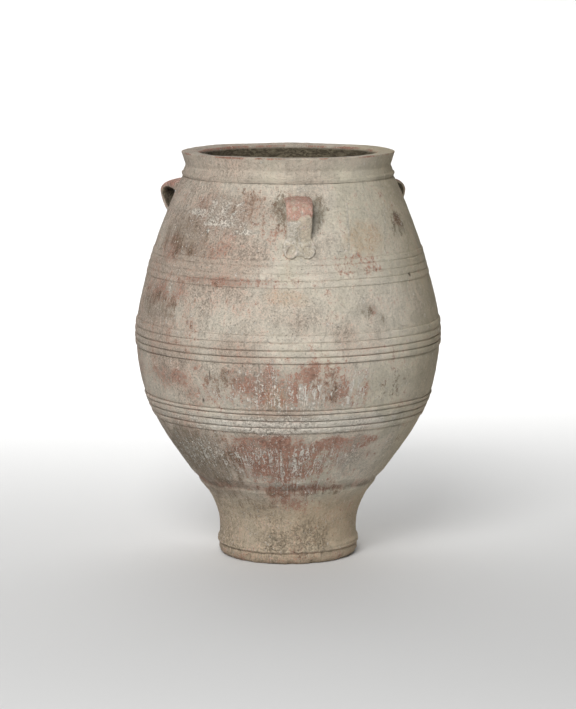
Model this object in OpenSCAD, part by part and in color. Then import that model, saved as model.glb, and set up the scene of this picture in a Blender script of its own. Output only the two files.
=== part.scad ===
// Large hand-thrown storage jar with a raised foot, a wide flat lip, three ribbed bands and three strap
// handles. Millimetres, +Z up. The origin is on the ground under the jar's axis, and the front handle
// points along -Y.

/* [Heights, from the ground up] */
// Thickness of the base slab, up to the groove round the foot
slab_h = 24; // [16:1:40]
// From the base slab up to the narrowest part of the stem
waist_h = 34; // [20:1:60]
// From the narrowest part of the stem up to the seam where the body starts
stem_h = 124; // [90:1:160]
// From that seam up to the lower band
flare_h = 119; // [80:1:160]
// From the lower band up to the belly band
low_wall_h = 98; // [60:1:140]
// From the belly band up to the shoulder band
high_wall_h = 92; // [60:1:140]
// From the shoulder band up to the collar
neck_wall_h = 145.5; // [140:0.5:200]
// Height of the collar, up to the top of the lip
collar_h = 52; // [46:1:70]

/* [Radii of the outside] */
// Radius of the foot
foot_r = 146; // [130:1:180]
// Radius at the narrowest part of the stem
waist_r = 144; // [110:1:165]
// Radius at the middle of the stem
calf_r = 165; // [140:1:195]
// Radius at the seam between the stem and the body
seam_r = 204; // [170:1:240]
// Radius at the bottom of the lower band
flare_r = 281; // [235:1:330]
// Largest radius of the wall, under the belly band
belly_r = 318.5; // [270:0.5:382]
// Radius under the shoulder band
shoulder_r = 287; // [240:1:340]
// Radius of the wall where the collar sits on it
neck_r = 219.5; // [185:0.5:260]
// How far the wall leans in there, for each millimetre of height
neck_lean = 0.49; // [0.2:0.01:0.8]

/* [Collar and lip] */
// Radius of the bead at the foot of the collar
bead_r = 220.5; // [186:0.5:262]
// Height of that bead
bead_h = 10; // [6:1:16]
// Radius of the narrowest part of the collar
throat_r = 212.5; // [180:0.5:250]
// Outer radius of the lip
lip_r = 221.5; // [188:0.5:260]
// Width of the flat lip
lip_w = 39; // [30:1:60]
// Radius that rounds the lip's outer edge
lip_round = 3; // [1:0.5:6]
// How far the inner edge of the lip falls below the outer one
lip_fall = 3; // [0:0.5:6]
// Depth of the round mouth, where its wall is straight
mouth_depth = 30; // [15:1:35]

/* [Clay] */
// Thickness of the thrown wall
wall_t = 24; // [16:0.5:34]
// Radius that rounds the edge of the base slab
slab_round = 15; // [6:1:16]
// Depth of the groove round the foot
foot_groove = 1.5; // [0.5:0.5:3]

/* [Ribbed bands] */
// Heights of the four ribs of the lower band, from the lowest up
lower_ribs = [12.5, 14, 14, 8];
// Heights of the four ribs of the belly band, from the lowest up
belly_ribs = [13, 13.5, 15.5, 15.5];
// Heights of the four ribs of the shoulder band, from the lowest up
shoulder_ribs = [13.5, 14, 16, 12];
// How far the ribs of the lower band stand out of the wall
lower_rib_out = 2.2; // [1:0.1:6]
// How far the ribs of the belly band stand out of the wall
belly_rib_out = 3.2; // [1:0.1:6]
// How far the ribs of the shoulder band stand out of the wall
shoulder_rib_out = 2.2; // [1:0.1:6]
// How deep a band is pressed into the wall
band_bed = 3; // [1:0.5:6]

/* [Handles] */
// Width of a handle strap
strap_w = 50; // [36:1:70]
// Thickness of a handle strap
strap_t = 10; // [6:0.5:14]
// Height from the bottom of the thumb pads to the middle of the strap's upper root
handle_h = 117; // [90:1:126]
// Clear space between the shoulder band and the thumb pads
pad_gap = 1; // [0.5:0.5:6]
// Extra height of the front, right and left handle, which were set by hand
handle_lift = [0, 9, 9];
// How far the strap is pulled out at its upper bend
upper_pull = 86; // [70:1:120]
// How far the strap is pulled out at its lower bend
lower_pull = 14; // [8:1:40]
// Radius of a thumb pad
pad_r = 15; // [10:0.5:20]
// Sideways distance from the middle of a handle to each thumb pad
pad_spread = 17; // [10:0.5:24]
// Thickness of a thumb pad
pad_t = 8; // [5:0.5:12]
// Depth of a thumb print
print_depth = 4; // [1:0.5:5]
// Radius of a thumb print
print_r = 12; // [6:0.5:15]

/* [Hidden] */
$fn = 96;

// Colours of the weathered wash, of the bare clay and of the bands
wash = "#b3a793";
warm_wash = "#a89785";
bare_clay = "#b58a7a";

// Longest step along the wall between two points of its outline
wall_step = 12;
// Points along each rib, and along each rounded edge
rib_steps = 6;
edge_steps = 4;
// Points along a handle's strap
strap_steps = 18;
// How far a handle's root reaches into the wall before the wall trims it
root_depth = 12;
// How far the upper root starts uphill, and the lower bend sits above the lower root
upper_rise = 7.5;
lower_rise = 34;
// Height of the lower root above the bottom of the pads
lower_root_h = 37;
// Where the middle of the stem is measured, as a share of the stem's height
calf_share = 0.58;
// Where the widest ring is, as a share of the belly band's height
belly_share = 0.32;
// Directions of the three handles, a third of a turn apart
front_angle = -90;
handle_angles = [for (i = [0:2]) front_angle + 120 * i];

function total(list, n) = n == 0 ? 0 : list[n - 1] + total(list, n - 1);

// Heights above the ground
waist_z = slab_h + waist_h;
calf_z = waist_z + calf_share * stem_h;
seam_z = waist_z + stem_h;
lower_band_z = seam_z + flare_h;
lower_top_z = lower_band_z + total(lower_ribs, 4);
belly_band_z = lower_top_z + low_wall_h;
belly_top_z = belly_band_z + total(belly_ribs, 4);
shoulder_band_z = belly_top_z + high_wall_h;
shoulder_top_z = shoulder_band_z + total(shoulder_ribs, 4);
collar_z = shoulder_top_z + neck_wall_h;
lip_z = collar_z + collar_h;

// The wall sections meet behind the second groove of each band
lower_joint_z = lower_band_z + total(lower_ribs, 2);
belly_joint_z = belly_band_z + total(belly_ribs, 2);
shoulder_joint_z = shoulder_band_z + total(shoulder_ribs, 2);

// The outside of the wall is a smooth curve of radius against height through these rings
ring_z = [
    waist_z, calf_z, seam_z, lower_band_z, belly_band_z + belly_share * (belly_top_z - belly_band_z),
    shoulder_joint_z, collar_z
];
ring_r = [waist_r, calf_r, seam_r, flare_r, belly_r, shoulder_r, neck_r];
last_ring = len(ring_z) - 1;

// Slope of the outline at ring i, weighted by the spans on its two sides
function span(i) = ring_z[i + 1] - ring_z[i];
function rise(i) = (ring_r[i + 1] - ring_r[i]) / span(i);
function lean(i) =
    i == 0 ? 0 :
    i == last_ring ? -neck_lean :
    (span(i) * rise(i - 1) + span(i - 1) * rise(i)) / (span(i - 1) + span(i));

// Ring below a height, and the share of the way from it to the next
function ring_below(z, i = 0) = i == last_ring - 1 || z < ring_z[i + 1] ? i : ring_below(z, i + 1);
function share(z, i) = (z - ring_z[i]) / span(i);

function curve(i, u) =
    (2 * pow(u, 3) - 3 * pow(u, 2) + 1) * ring_r[i] + (pow(u, 3) - 2 * pow(u, 2) + u) * span(i) * lean(i)
    + (3 * pow(u, 2) - 2 * pow(u, 3)) * ring_r[i + 1] + (pow(u, 3) - pow(u, 2)) * span(i) * lean(i + 1);

// Below the waist the foot flares out again to its own radius
function foot_share(z) = (waist_z - z) / (waist_z - slab_h);
function outer_r(z) =
    z < waist_z ? waist_r + (foot_r - waist_r) * pow(foot_share(z), 2) :
    let (i = ring_below(z)) curve(i, share(z, i));

// The wall keeps its thickness square to its own slope
function slope(z) = (outer_r(z + 1) - outer_r(z - 1)) / 2;
function inner_r(z) = outer_r(z) - wall_t * sqrt(1 + pow(slope(z), 2));

function steps(z0, z1) = let (n = ceil(abs(z1 - z0) / wall_step)) [for (i = [0:n]) z0 + (z1 - z0) * i / n];
function outside(z0, z1, inset = 0) = [for (z = steps(z0, z1)) [outer_r(z) - inset, z]];
function inside(z0, z1) = [for (z = steps(z1, z0)) [inner_r(z), z]];
function arc(c, r, a0, a1) =
    [for (i = [0:edge_steps]) let (a = a0 + (a1 - a0) * i / edge_steps) c + r * [cos(a), sin(a)]];

module turn(outline) {
    rotate_extrude()
        polygon(outline);
}

// Flat disc with a rounded edge and a small bevel that makes the lower half of the foot's groove
module base_slab() {
    color(bare_clay)
        turn(concat(
            [[0, 0]],
            arc([foot_r - slab_round, slab_round], slab_round, -90, 0),
            [[foot_r, slab_h - foot_groove], [foot_r - foot_groove, slab_h], [0, slab_h]]
        ));
}

module stem_section() {
    color(warm_wash)
        turn(concat(
            [[foot_r - foot_groove, slab_h]],
            outside(slab_h + foot_groove, seam_z),
            inside(slab_h, seam_z)
        ));
}

module lower_section() {
    color(warm_wash)
        turn(concat(
            outside(seam_z, lower_band_z),
            outside(lower_band_z, lower_joint_z, band_bed),
            inside(seam_z, lower_joint_z)
        ));
}

module belly_section() {
    color(wash)
        turn(concat(
            outside(lower_joint_z, lower_top_z, band_bed),
            outside(lower_top_z, belly_band_z),
            outside(belly_band_z, belly_joint_z, band_bed),
            inside(lower_joint_z, belly_joint_z)
        ));
}

module shoulder_section() {
    color(wash)
        turn(concat(
            outside(belly_joint_z, belly_top_z, band_bed),
            outside(belly_top_z, shoulder_band_z),
            outside(shoulder_band_z, shoulder_joint_z, band_bed),
            inside(belly_joint_z, shoulder_joint_z)
        ));
}

module neck_section() {
    color(wash)
        turn(concat(
            outside(shoulder_joint_z, shoulder_top_z, band_bed),
            outside(shoulder_top_z, collar_z),
            inside(shoulder_joint_z, collar_z)
        ));
}

// The collar is narrowest a quarter of the way up from its bead
mouth_r = lip_r - lip_w;
throat_z = collar_z + bead_h + (collar_h - bead_h) / 4;

// Collar with a bead at its foot, a waisted outside and a wide lip round the straight mouth
module rim_collar() {
    color(wash)
        turn(concat(
            [[neck_r, collar_z], [bead_r, collar_z + bead_h / 3], [bead_r, collar_z + bead_h / 2]],
            [[(bead_r + throat_r) / 2, collar_z + bead_h], [throat_r, throat_z]],
            [[lip_r - lip_round / 2, lip_z - 2 * lip_round]],
            arc([lip_r - lip_round, lip_z - lip_round], lip_round, 0, 90),
            [[lip_r - lip_w / 2, lip_z]],
            arc([mouth_r + lip_fall, lip_z - 2 * lip_fall], lip_fall, 90, 180),
            [[mouth_r, lip_z - 2 * lip_fall - mouth_depth], [inner_r(collar_z), collar_z]]
        ));
}

// One strip of clay, pressed into the wall and combed into rounded ribs
function rib(z0, h, out) = [
    for (i = [0:rib_steps - 1])
        let (u = i / rib_steps, z = z0 + h * u)
        [outer_r(z) + out * sqrt(sin(180 * u)), z]
];

module band(z0, joint_z, ribs, out) {
    z1 = z0 + total(ribs, len(ribs));
    turn(concat(
        [for (n = [0:len(ribs) - 1]) each rib(z0 + total(ribs, n), ribs[n], out)],
        [[outer_r(z1), z1]],
        [for (z = steps(z1, joint_z)) [outer_r(z) - band_bed, z]],
        [for (z = steps(joint_z, z0)) if (z < joint_z) [outer_r(z) - band_bed, z]]
    ));
}

module lower_band() {
    color(warm_wash)
        band(lower_band_z, lower_joint_z, lower_ribs, lower_rib_out);
}

module belly_band() {
    color(warm_wash)
        band(belly_band_z, belly_joint_z, belly_ribs, belly_rib_out);
}

module shoulder_band() {
    color(warm_wash)
        band(shoulder_band_z, shoulder_joint_z, shoulder_ribs, shoulder_rib_out);
}

// Handles. The strap's middle line is a smooth curve in the plane through the jar's axis.
pad_z = shoulder_top_z + pad_gap;

function bezier(p, u) =
    pow(1 - u, 3) * p[0] + 3 * pow(1 - u, 2) * u * p[1] + 3 * (1 - u) * pow(u, 2) * p[2] + pow(u, 3) * p[3];
function heading(p, u) =
    let (d = bezier(p, min(u + 0.01, 1)) - bezier(p, max(u - 0.01, 0))) d / norm(d);
function strap_edge(p, u, side) = let (d = heading(p, u)) bezier(p, u) + side * strap_t / 2 * [-d[1], d[0]];

function strap_line(foot_z) =
    let (top_z = foot_z + handle_h, root_z = foot_z + lower_root_h)
    [
        [outer_r(top_z) - root_depth, top_z],
        [outer_r(top_z) + upper_pull, top_z + upper_rise],
        [outer_r(root_z) + lower_pull, root_z + lower_rise],
        [outer_r(root_z), root_z]
    ];

// Upright slice of the strap, turned so that it stands out along +X
module strap(foot_z) {
    line = strap_line(foot_z);
    translate([0, strap_w / 2, 0])
        rotate([90, 0, 0])
            linear_extrude(strap_w)
                polygon(concat(
                    [for (i = [0:strap_steps]) strap_edge(line, i / strap_steps, 1)],
                    [for (i = [strap_steps:-1:0]) strap_edge(line, i / strap_steps, -1)]
                ));
}

// The strap's end is spread down the wall and pressed into two round pads
module pad_shape(foot_z) {
    root_z = foot_z + lower_root_h;
    rotate([90, 0, 90])
        linear_extrude(belly_r + pad_t) {
            polygon([
                [-strap_w / 2, root_z], [strap_w / 2, root_z],
                [pad_spread + pad_r, foot_z + pad_r], [-pad_spread - pad_r, foot_z + pad_r]
            ]);
            for (side = [-1, 1])
                translate([side * pad_spread, foot_z + pad_r])
                    circle(r = pad_r);
        }
}

// Everything inside the wall's outside face, grown by a thickness
module wall_envelope(grow) {
    turn(concat(
        [[0, shoulder_top_z]],
        outside(shoulder_top_z, collar_z, -grow),
        [[0, collar_z]]
    ));
}

module thumb_prints(foot_z) {
    print_z = foot_z + pad_r;
    ball_r = (pow(print_r, 2) + pow(print_depth, 2)) / (2 * print_depth);
    for (side = [-1, 1])
        translate([outer_r(print_z) + pad_t - print_depth + ball_r, side * pad_spread, print_z])
            sphere(r = ball_r);
}

module handle(n) {
    foot_z = pad_z + handle_lift[n];
    color(bare_clay)
        rotate([0, 0, handle_angles[n]])
            difference() {
                union() {
                    strap(foot_z);
                    intersection() {
                        pad_shape(foot_z);
                        wall_envelope(pad_t);
                    }
                }
                wall_envelope(0);
                thumb_prints(foot_z);
            }
}

module front_handle() {
    handle(0);
}

module right_handle() {
    handle(1);
}

module left_handle() {
    handle(2);
}

base_slab();
stem_section();
lower_section();
belly_section();
shoulder_section();
neck_section();
rim_collar();
lower_band();
belly_band();
shoulder_band();
front_handle();
right_handle();
left_handle();
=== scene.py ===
"""Looks of a weathered three-handled storage jar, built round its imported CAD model. Metres, +Z up.

Bearings are in degrees round the jar from the front handle (-Y), positive towards +X.
"""
import math

import bpy
import numpy as np
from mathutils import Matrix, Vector


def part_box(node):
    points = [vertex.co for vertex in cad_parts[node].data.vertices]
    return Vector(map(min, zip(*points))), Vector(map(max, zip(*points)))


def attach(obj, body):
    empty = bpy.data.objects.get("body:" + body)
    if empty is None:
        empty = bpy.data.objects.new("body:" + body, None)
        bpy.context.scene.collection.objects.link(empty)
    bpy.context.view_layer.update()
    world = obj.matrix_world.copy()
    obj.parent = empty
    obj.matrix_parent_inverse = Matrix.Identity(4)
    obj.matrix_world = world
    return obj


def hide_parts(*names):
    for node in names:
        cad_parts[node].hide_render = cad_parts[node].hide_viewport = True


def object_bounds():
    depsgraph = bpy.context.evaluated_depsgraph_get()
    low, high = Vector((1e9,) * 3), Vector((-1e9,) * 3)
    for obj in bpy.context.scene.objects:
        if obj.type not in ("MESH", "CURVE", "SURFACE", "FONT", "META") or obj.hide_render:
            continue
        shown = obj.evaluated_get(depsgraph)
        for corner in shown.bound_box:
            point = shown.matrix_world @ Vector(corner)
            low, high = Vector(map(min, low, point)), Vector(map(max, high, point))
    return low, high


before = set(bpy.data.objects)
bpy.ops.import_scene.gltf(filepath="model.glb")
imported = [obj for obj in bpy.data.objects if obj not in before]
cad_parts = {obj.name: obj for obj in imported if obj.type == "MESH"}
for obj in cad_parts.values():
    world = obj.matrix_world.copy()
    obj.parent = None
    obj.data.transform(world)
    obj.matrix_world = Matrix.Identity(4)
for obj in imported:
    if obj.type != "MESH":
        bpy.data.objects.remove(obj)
cad_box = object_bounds()

WALLS = ["stem_section", "lower_section", "belly_section", "shoulder_section", "neck_section"]
BANDS = ["lower_band", "belly_band", "shoulder_band"]
HANDLES = ["front_handle", "right_handle", "left_handle"]

# Mesh detail
SEGMENTS = 900
WALL_ROW = 0.0022
BAND_ROW = 0.0008
FINE_ROW = 0.0011
HIDDEN_ROW = 0.008
INSIDE_ROW = 0.010
HANDLE_VOXEL = 0.0009

# A jar built by hand is never quite round or level
SLOW_SIZE = 0.23
SLOW_OUT = 0.0011
WAVER_TURNS = 1.6
WAVER_HEIGHT = 0.22
WAVER = 0.0011
LEVEL_FOOT = 0.04
# Noise that runs round the jar is read on a circle of this radius
NOISE_RADIUS = 0.3

# Surface of the clay
LUMP_SIZE, LUMP_OUT = 0.055, 0.0007
GRAIN_SIZE, GRAIN_OUT = 0.013, 0.00030
RIDGE_SIZE, RIDGE_OUT = 0.011, 0.00022
PIT_SIZE, PIT_DEPTH = 0.011, 0.0011
CRUST_SIZE, CRUST_OUT = 0.0085, 0.0016
FOOT_WEAR, FOOT_WEAR_TOP = 0.0012, 0.022
INSIDE_OUT = 0.0012

# Beads above the foot's groove: how high above it, half height, how far out
FOOT_BEADS = [(0.010, 0.0065, 0.0034), (0.0036, 0.0018, 0.0022)]
# The smeared ledge over the seam hangs below the joint: how far, how much it wavers, and its relief
LEDGE_DROP, LEDGE_WAVER = 0.020, 0.005
LEDGE_OUT, LEDGE_BELLY, LEDGE_GROOVE = 0.0016, 0.0008, 0.0018
# Creases: half height, depth, and how much dirt and painted shade lie in them; at the ledge only painted
# shade
COLLAR_CREASE, COLLAR_CREASE_DEPTH, COLLAR_SHADE_AND_DIRT = 0.0014, 0.0005, 0.20
FOOT_CREASE, FOOT_SHADE_AND_DIRT, LEDGE_PAINTED_SHADE = 0.0016, 0.60, 0.85

# Bands: how square the tops of their ribs are, how deep their bed is, and how wide their lines are
RIB_POWER = 2.5
BAND_BED = 0.003
GROOVE_WIDTH = 0.0011
BAND_EDGE_WIDTH = 0.0022
# How much of the CAD height of its ribs each band keeps
RIB_SHARE = {"lower_band": 1.2, "belly_band": 0.9, "shoulder_band": 0.75}
# How deep each line of a band is, from its lower edge over its three grooves to its upper edge
LINE_DEPTH = {
    "lower_band": (0.0016, 0.0021, 0.0024, 0.0024, 0.0012),
    "belly_band": (0.0016, 0.0019, 0.0016, 0.0007, 0.0003),
    "shoulder_band": (0.0004, 0.0004, 0.0005, 0.0004, 0.0002),
}
# How much dirt and painted shade lie in a line, for each metre of its depth
LINE_SHADE_AND_DIRT = 340.0

# The collar: how far its bead's crest is above the CAD one, what fills its waist, how deep its nicks are
BEAD_LIFT, WAIST_FILL, LIP_NICK = 0.0026, 0.0030, 0.0011
THROAT_FOOT = 0.016
# Lines of the worn lip, as steps in and down from its outer corner, and out and down from the mouth
LIP_SIDE = (0.0008, 0.004)
LIP_EDGE = [(0.0, 0.0022), (0.0007, 0.0006), (0.0026, 0.0)]
LIP_TOP = [(0.012, -0.0003), (0.024, 0.0003)]
MOUTH_EDGE = [(0.006, 0.0022), (0.0018, 0.0040), (0.0, 0.0075)]

# Marks on the wall by kind, from the foot up: bearing, height, half width in degrees, half height, strength
MARKS = {
    # Red clay laid bare
    "bare": [
        (0.0, 0.01, 180.0, 0.012, 0.3), (-3.0, 0.136, 13.0, 0.024, 0.46),
        (-2.0, 0.168, 20.0, 0.019, 1.0), (-7.0, 0.222, 24.0, 0.042, 1.12),
        (-4.0, 0.24, 36.0, 0.058, 0.9), (-128.0, 0.262, 28.0, 0.03, 0.7),
        (112.0, 0.27, 24.0, 0.03, 0.75), (-9.4, 0.272, 12.0, 0.026, 0.98),
        (14.0, 0.273, 12.0, 0.022, 0.84), (29.0, 0.276, 9.0, 0.018, 0.72),
        (-22.0, 0.278, 10.0, 0.018, 0.66), (-38.0, 0.372, 8.0, 0.02, 0.4),
        (16.6, 0.39, 3.6, 0.026, 0.68), (24.9, 0.397, 3.4, 0.036, 0.64),
        (-4.0, 0.4, 38.0, 0.046, 0.68), (172.0, 0.4, 22.0, 0.04, 0.65),
        (-57.0, 0.405, 13.0, 0.022, 0.42), (-13.0, 0.408, 9.0, 0.04, 0.72),
        (1.0, 0.416, 7.0, 0.03, 0.62), (29.5, 0.547, 1.8, 0.012, 0.75),
        (-63.0, 0.57, 15.0, 0.026, 0.52), (-29.4, 0.606, 24.0, 0.011, 0.58),
        (25.0, 0.628, 12.0, 0.01, 0.38), (22.6, 0.648, 16.0, 0.012, 0.38),
        (-63.6, 0.662, 8.0, 0.03, 0.62), (-40.0, 0.668, 18.0, 0.02, 0.4),
        (-145.0, 0.7, 20.0, 0.05, 0.5), (55.9, 0.717, 4.5, 0.015, 0.85),
        (-12.0, 0.72, 7.0, 0.05, 0.4), (-34.0, 0.735, 26.0, 0.055, 0.34),
    ],
    # Drips of lime
    "drip": [
        (2.0, 0.182, 20.0, 0.038, 0.75), (-126.0, 0.225, 30.0, 0.05, 0.8),
        (-4.0, 0.232, 30.0, 0.048, 1.0), (110.0, 0.235, 30.0, 0.05, 0.8),
        (-50.0, 0.24, 24.0, 0.045, 0.62), (-2.0, 0.378, 30.0, 0.034, 0.9),
        (168.0, 0.39, 28.0, 0.04, 0.7), (20.0, 0.392, 12.0, 0.044, 0.75),
        (-14.0, 0.41, 12.0, 0.04, 0.45),
    ],
    # Dark stains, and dirt with painted shade beside the straps
    "stain_and_shade": [
        (12.0, 0.056, 17.0, 0.04, 0.14), (-32.0, 0.124, 26.0, 0.03, 0.6),
        (-50.0, 0.158, 34.0, 0.022, 0.62), (8.0, 0.164, 34.0, 0.013, 0.75),
        (-58.0, 0.225, 32.0, 0.085, 0.9), (62.0, 0.25, 22.0, 0.06, 0.4),
        (36.6, 0.393, 9.0, 0.036, 0.66), (10.4, 0.397, 7.0, 0.036, 0.66),
        (-152.0, 0.4, 14.0, 0.036, 0.5), (-29.8, 0.408, 7.5, 0.03, 0.66),
        (63.0, 0.412, 9.0, 0.034, 0.5), (31.9, 0.53, 3.8, 0.016, 0.72),
        (-66.0, 0.547, 16.0, 0.036, 0.56), (24.9, 0.549, 5.8, 0.018, 0.84),
        (140.0, 0.55, 12.0, 0.03, 0.5), (64.0, 0.557, 7.0, 0.02, 0.6),
        (-40.0, 0.6, 12.0, 0.012, 0.3), (-56.0, 0.69, 20.0, 0.06, 0.6),
        (55.7, 0.714, 8.0, 0.032, 0.95), (-95.0, 0.72, 12.0, 0.04, 0.4),
        (-14.0, 0.735, 5.0, 0.05, 0.18), (12.0, 0.735, 6.0, 0.04, 0.35),
        # Beside the front strap: dirt and a painted shadow on both sides
        (8.8, 0.745, 6.2, 0.038, 0.94), (-8.2, 0.746, 5.8, 0.038, 0.84),
        (-30.0, 0.75, 22.0, 0.05, 0.4),
        # Beside the straps at the back: dirt and painted shade
        *[(bearing, 0.742, 5.0, 0.036, 1.2) for bearing in (112.0, 128.0, -112.0, -128.0)],
    ],
    # Ochre patches
    "ochre": [
        (30.0, 0.09, 40.0, 0.06, 0.4), (-9.4, 0.377, 4.2, 0.027, 0.95),
        (-5.0, 0.579, 9.0, 0.018, 0.55), (31.4, 0.688, 11.0, 0.032, 0.6),
        (155.0, 0.69, 14.0, 0.034, 0.5),
    ],
    # Pale smears of wash, and painted light on the lower band
    "pale": [
        # The mark at bearing 2, height 0.318 is painted light on the lower band's downward faces
        (26.0, 0.238, 9.0, 0.026, 0.7), (2.0, 0.318, 60.0, 0.024, 1.15),
        (-14.4, 0.414, 3.6, 0.026, 0.55), (-20.0, 0.52, 8.0, 0.02, 0.25),
        (19.2, 0.671, 4.2, 0.013, 0.75), (-24.0, 0.704, 8.0, 0.007, 0.85),
        (96.0, 0.715, 6.0, 0.03, 0.5), (-38.0, 0.719, 10.0, 0.008, 0.95),
        (-38.0, 0.735, 18.0, 0.04, 0.72), (-52.0, 0.738, 9.0, 0.008, 0.95),
        (1.6, 0.786, 5.5, 0.008, 0.85),
    ],
    # Small holes
    "hole": [
        (-38.6, 0.364, 0.35, 0.0055, 0.9), (-34.4, 0.419, 0.35, 0.011, 0.9),
        (53.1, 0.6085, 0.9, 0.004, 1.0), (-33.0, 0.7, 0.4, 0.003, 0.8),
    ],
    # Rough crust on the stem
    "crust": [
        (-14.0, 0.05, 14.0, 0.022, 0.8), (13.0, 0.056, 17.0, 0.042, 1.0),
    ],
}
# Pale runs of wash down the wall: bearing at the top, degrees gained by the bottom, top, bottom, half width
RUNS = [
    (25.4, -4.0, 0.765, 0.652, 0.8),
    (50.0, -10.5, 0.762, 0.648, 0.85),
    (18.5, 1.0, 0.43, 0.352, 0.5),
    (-120.0, 5.0, 0.76, 0.66, 0.6),
]
# Dents and chips: bearing, height, radius and depth
CHIPS = [
    (-39.4, 0.012, 0.009, 0.003),
    (-30.0, 0.022, 0.006, 0.0012),
    (18.0, 0.004, 0.012, 0.0022),
    (-2.0, 0.003, 0.01, 0.0018),
    (48.0, 0.01, 0.008, 0.0018),
    (-62.0, 0.648, 0.01, 0.0014),
    (53.1, 0.6085, 0.0042, 0.0022),
    (70.0, 0.498, 0.007, 0.0016),
    (-25.0, 0.452, 0.006, 0.0012),
    (130.0, 0.016, 0.01, 0.0028),
    (-160.0, 0.31, 0.009, 0.002),
    (164.0, 0.64, 0.008, 0.0016),
]


# ---- numbers

def smooth(low, high, value):
    """0 below low, 1 above high, and a smooth step between them."""
    share = np.clip((value - low) / (high - low), 0.0, 1.0)
    return share * share * (3.0 - 2.0 * share)


def bump(value, width):
    """1 at zero, falling away over the given width."""
    return np.exp(-(value / width) ** 2)


def noise(points, size, seed):
    """Smooth seeded noise, about -1 to 1, whose lumps are about the given size across."""
    rng = np.random.default_rng(seed)
    order = rng.permutation(256)
    slopes = rng.normal(size=(256, 3))
    slopes /= np.linalg.norm(slopes, axis=1)[:, None]
    points = np.asarray(points, float) / size
    cell = np.floor(points).astype(int)
    part = points - cell
    fade = part ** 3 * (part * (part * 6.0 - 15.0) + 10.0)
    total = np.zeros(len(points))
    for corner in np.ndindex(2, 2, 2):
        step = np.array(corner)
        at = (cell + step) & 255
        index = order[(order[(order[at[:, 0]] + at[:, 1]) & 255] + at[:, 2]) & 255]
        weight = np.prod(np.where(step == 1, fade, 1.0 - fade), axis=1)
        total += weight * ((part - step) * slopes[index]).sum(axis=1)
    return total * 1.7


def layered(points, size, seed, layers=3):
    """Noise with finer and fainter noise added on top of it."""
    return sum(noise(points, size / 2 ** n, seed + 31 * n) * 0.55 ** n for n in range(layers))


def around(bearing, height, across=1.0, along=1.0):
    """Points for noise whose lumps are one size round the jar and another size up it."""
    turn = np.radians(bearing)
    return np.stack(
        [NOISE_RADIUS * np.sin(turn) / across, -NOISE_RADIUS * np.cos(turn) / across, height / along], axis=1)


def polar(points):
    """Distance of each point from the axis, and its bearing."""
    return np.hypot(points[:, 0], points[:, 1]), np.degrees(np.arctan2(points[:, 0], -points[:, 1]))


def turned(bearing, centre):
    """Degrees from one bearing to another, the short way round."""
    return (bearing - centre + 180.0) % 360.0 - 180.0


class Curve:
    """A smooth curve of radius against height through given rings."""

    def __init__(self, rings):
        rings = np.array(sorted(tuple(ring) for ring in rings))
        self.z, self.r = rings[:, 0], rings[:, 1]
        self.slopes = np.gradient(self.r, self.z)

    def __call__(self, height):
        height = np.clip(height, self.z[0], self.z[-1])
        i = np.clip(np.searchsorted(self.z, height, "right") - 1, 0, len(self.z) - 2)
        span = self.z[i + 1] - self.z[i]
        u = (height - self.z[i]) / span
        start = (2 * u ** 3 - 3 * u ** 2 + 1) * self.r[i] + (u ** 3 - 2 * u ** 2 + u) * span * self.slopes[i]
        end = (3 * u ** 2 - 2 * u ** 3) * self.r[i + 1] + (u ** 3 - u ** 2) * span * self.slopes[i + 1]
        return start + end

    def lean(self, height, step=0.002):
        return (self(height + step) - self(height - step)) / (2 * step)


# ---- the CAD model's own rings

def node_rings(node):
    """Rings of a turned CAD node as (height, radius): those that face out, and those that face the axis."""
    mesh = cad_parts[node].data
    points = np.array([v.co for v in mesh.vertices])
    normals = np.array([v.normal for v in mesh.vertices])
    radius = polar(points)[0]
    facing = (points[:, :2] * normals[:, :2]).sum(axis=1) / np.maximum(radius, 1e-6)
    height = np.round(points[:, 2], 4)
    out = {z: radius[(height == z) & (facing > 0.3)] for z in np.unique(height)}
    back = {z: radius[(height == z) & (facing < -0.3)] for z in np.unique(height)}
    return (
        [(z, r.max()) for z, r in out.items() if len(r)],
        [(z, r.min()) for z, r in back.items() if len(r)],
    )


def span_of(node):
    """Lowest and highest point of a CAD node."""
    low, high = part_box(node)
    return low.z, high.z


BAND_SPANS = {band: span_of(band) for band in BANDS}


def band_grooves(band):
    """Rings where a band meets the line of the wall: its two edges and the grooves between its ribs."""
    rings = node_rings(band)[0]
    radii = [r for z, r in rings]
    lows = [i for i in range(1, len(rings) - 1) if radii[i] < min(radii[i - 1], radii[i + 1])]
    return [rings[i] for i in [0, *lows, len(rings) - 1]]


def wall_curves():
    """The smooth outside and inside of the jar's wall, from the foot to the collar."""
    outside, inside = {}, {}
    spans = BAND_SPANS.values()
    for node in WALLS:
        out, back = node_rings(node)
        outside.update({z: r for z, r in out if not any(a < z + 1e-4 and z - 1e-4 < b for a, b in spans)})
        inside.update(dict(back))
    for band in BANDS:
        outside.update(dict(band_grooves(band)))
    # The ring in the foot's groove isn't on the wall's own line
    del outside[min(outside)]
    return Curve(list(outside.items())), Curve(list(inside.items()))


outer_wall, inner_wall = wall_curves()
FOOT_TOP = span_of("base_slab")[1]
FOOT_BEAD = FOOT_TOP + 0.020
SEAM = span_of("stem_section")[1]
LEDGE = SEAM - LEDGE_DROP
COLLAR = span_of("rim_collar")[0]
LIP = span_of("rim_collar")[1]


# ---- marks, lumps and pits

def ragged_edge(bearing, height):
    """Noise that frays the edges of the marks."""
    return layered(around(bearing, height), 0.028, 71)


def mark(kind, bearing, height, ragged):
    """Strength of one kind of mark at each point, with ragged edges."""
    total = np.zeros(len(bearing))
    for centre, middle, half_turn, half_height, strength in MARKS[kind]:
        away = np.hypot(turned(bearing, centre) / half_turn, (height - middle) / half_height)
        edge = 0.35 * ragged if half_turn > 2.0 else 0.0
        total = np.maximum(total, strength * smooth(1.35, 0.45, away + edge))
    return total


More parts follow.
